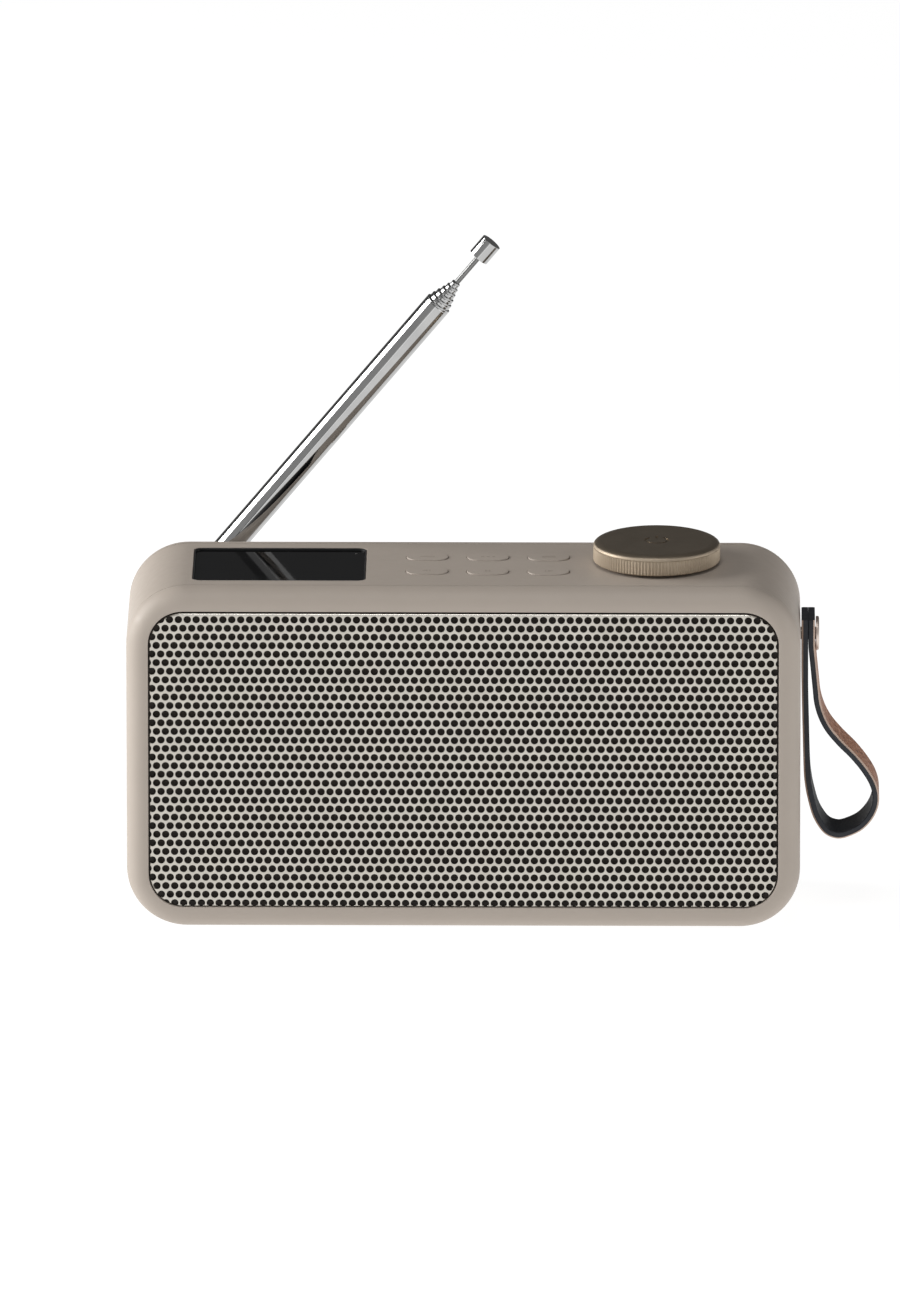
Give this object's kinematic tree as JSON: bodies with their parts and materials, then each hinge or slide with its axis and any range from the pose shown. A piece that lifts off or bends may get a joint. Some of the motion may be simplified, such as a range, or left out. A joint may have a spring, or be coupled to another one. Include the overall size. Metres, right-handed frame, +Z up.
{
  "type": "portable radio",
  "caption": "Portable table radio: rounded case, perforated metal front, top display, keys and knob, folding rod antenna behind, leather loop on one side.",
  "frame": {"origin": "on the surface the radio stands on, below the middle of the case, at the middle of the foot pad", "axes": "+Z up; -Y is the direction the grille faces; +X is to the right seen from the front, towards the strap"},
  "size_m": [0.2407, 0.0761, 0.2123],
  "materials": {
    "case_plastic": "soft-touch satin, fine grain",
    "key_plastic": "soft-touch satin, fine grain",
    "grille_metal": "fine satin, perforated",
    "grille_cloth": "black acoustic cloth",
    "black_plastic": "plain moulded",
    "window_gloss": "high gloss, smoked",
    "knob_metal": "anodised bronze, knurled side",
    "antenna_chrome": "polished",
    "steel": "satin",
    "brass": "turned",
    "strap_leather": "smooth grain, painted dark edges",
    "rubber": "matt silicone",
    "circuit_board": "solder mask",
    "speaker_cone": "coated paper",
    "magnet": "plated",
    "cell_wrap": "shrink film"
  },
  "bodies": {
    "root": {"front_bezel": "case_plastic", "main_housing": "case_plastic", "rear_cover": "case_plastic", "speaker_grille": "grille_metal", "grille_cloth": "grille_cloth", "speaker_baffle": "black_plastic", "display_module": "black_plastic", "audio_socket": "black_plastic", "encoder_housing": "black_plastic", "switch_front_left": "black_plastic", "switch_front_middle": "black_plastic", "switch_front_right": "black_plastic", "switch_rear_left": "black_plastic", "switch_rear_middle": "black_plastic", "switch_rear_right": "black_plastic", "display_window": "window_gloss", "cover_screw_1": "steel", "cover_screw_2": "steel", "cover_screw_3": "steel", "cover_screw_4": "steel", "usb_socket": "steel", "strap_stud": "steel", "left_driver_frame": "steel", "right_driver_frame": "steel", "encoder_bush": "brass", "strap_nut": "brass", "foot_pad": "rubber", "display_gasket": "rubber", "main_board": "circuit_board", "control_board": "circuit_board", "left_driver_cone": "speaker_cone", "right_driver_cone": "speaker_cone", "left_driver_magnet": "magnet", "right_driver_magnet": "magnet", "battery_pack": "cell_wrap"},
    "encoder_rotor": {"encoder_rotor": "black_plastic"},
    "knob": {"knob": "knob_metal", "knob_shaft": "steel"},
    "key_front_left": {"key_front_left": "key_plastic"},
    "key_front_middle": {"key_front_middle": "key_plastic"},
    "key_front_right": {"key_front_right": "key_plastic"},
    "key_rear_left": {"key_rear_left": "key_plastic"},
    "key_rear_middle": {"key_rear_middle": "key_plastic"},
    "key_rear_right": {"key_rear_right": "key_plastic"},
    "antenna_swivel": {"antenna_swivel": "steel", "antenna_retainer": "steel", "antenna_pin": "steel"},
    "antenna_tube_1": {"antenna_root": "antenna_chrome", "antenna_tube_1": "antenna_chrome"},
    "antenna_tube_2": {"antenna_tube_2": "antenna_chrome"},
    "antenna_tube_3": {"antenna_tube_3": "antenna_chrome"},
    "antenna_tube_4": {"antenna_tube_4": "antenna_chrome"},
    "antenna_tube_5": {"antenna_tube_5": "antenna_chrome"},
    "antenna_tube_6": {"antenna_tube_6": "antenna_chrome"},
    "antenna_rod": {"antenna_rod": "antenna_chrome", "antenna_cap": "antenna_chrome"},
    "strap": {"strap": "strap_leather"}
  },
  "joints": [
    {"name": "knob_turn", "type": "hinge", "parent": "root", "child": "encoder_rotor", "pos_m": [0.0616, 0.0027, 0.1135], "axis": [0, 0, 1], "continuous": true},
    {"name": "knob_press", "type": "slide", "parent": "encoder_rotor", "child": "knob", "axis": [0, 0, -1], "range_m": [0, 0.0006], "stiffness_N_per_m": 2500, "springref_m": -0.0004},
    {"name": "key_front_left_press", "type": "slide", "parent": "root", "child": "key_front_left", "axis": [0, 0, -1], "range_m": [0, 0.0004], "stiffness_N_per_m": 2500, "springref_m": -0.0002},
    {"name": "key_front_middle_press", "type": "slide", "parent": "root", "child": "key_front_middle", "axis": [0, 0, -1], "range_m": [0, 0.0004], "stiffness_N_per_m": 2500, "springref_m": -0.0002},
    {"name": "key_front_right_press", "type": "slide", "parent": "root", "child": "key_front_right", "axis": [0, 0, -1], "range_m": [0, 0.0004], "stiffness_N_per_m": 2500, "springref_m": -0.0002},
    {"name": "key_rear_left_press", "type": "slide", "parent": "root", "child": "key_rear_left", "axis": [0, 0, -1], "range_m": [0, 0.0004], "stiffness_N_per_m": 2500, "springref_m": -0.0002},
    {"name": "key_rear_middle_press", "type": "slide", "parent": "root", "child": "key_rear_middle", "axis": [0, 0, -1], "range_m": [0, 0.0004], "stiffness_N_per_m": 2500, "springref_m": -0.0002},
    {"name": "key_rear_right_press", "type": "slide", "parent": "root", "child": "key_rear_right", "axis": [0, 0, -1], "range_m": [0, 0.0004], "stiffness_N_per_m": 2500, "springref_m": -0.0002},
    {"name": "antenna_turn", "type": "hinge", "parent": "root", "child": "antenna_swivel", "pos_m": [-0.0934, 0.0374, 0.0883], "axis": [0, 1, 0], "range_deg": [-129.86, 50.14]},
    {"name": "antenna_tilt", "type": "hinge", "parent": "antenna_swivel", "child": "antenna_tube_1", "pos_m": [-0.0934, 0.0374, 0.0883], "axis": [-0.7676, 0, 0.6409], "range_deg": [0, 90]},
    {"name": "antenna_tube_2_slide", "type": "slide", "parent": "antenna_tube_1", "child": "antenna_tube_2", "axis": [0.6409, 0, 0.7676], "range_m": [0, 0.108]},
    {"name": "antenna_tube_3_slide", "type": "slide", "parent": "antenna_tube_2", "child": "antenna_tube_3", "axis": [0.6409, 0, 0.7676], "range_m": [0, 0.108]},
    {"name": "antenna_tube_4_slide", "type": "slide", "parent": "antenna_tube_3", "child": "antenna_tube_4", "axis": [0.6409, 0, 0.7676], "range_m": [0, 0.108]},
    {"name": "antenna_tube_5_slide", "type": "slide", "parent": "antenna_tube_4", "child": "antenna_tube_5", "axis": [0.6409, 0, 0.7676], "range_m": [0, 0.108]},
    {"name": "antenna_tube_6_slide", "type": "slide", "parent": "antenna_tube_5", "child": "antenna_tube_6", "axis": [0.6409, 0, 0.7676], "range_m": [0, 0.108]},
    {"name": "antenna_rod_slide", "type": "slide", "parent": "antenna_tube_6", "child": "antenna_rod", "axis": [0.6409, 0, 0.7676], "range_m": [0, 0.108]},
    {"name": "strap_swing", "type": "hinge", "parent": "root", "child": "strap", "pos_m": [0.1077, 0, 0.091], "axis": [1, 0, 0], "range_deg": [-180, 180]}
  ]
}
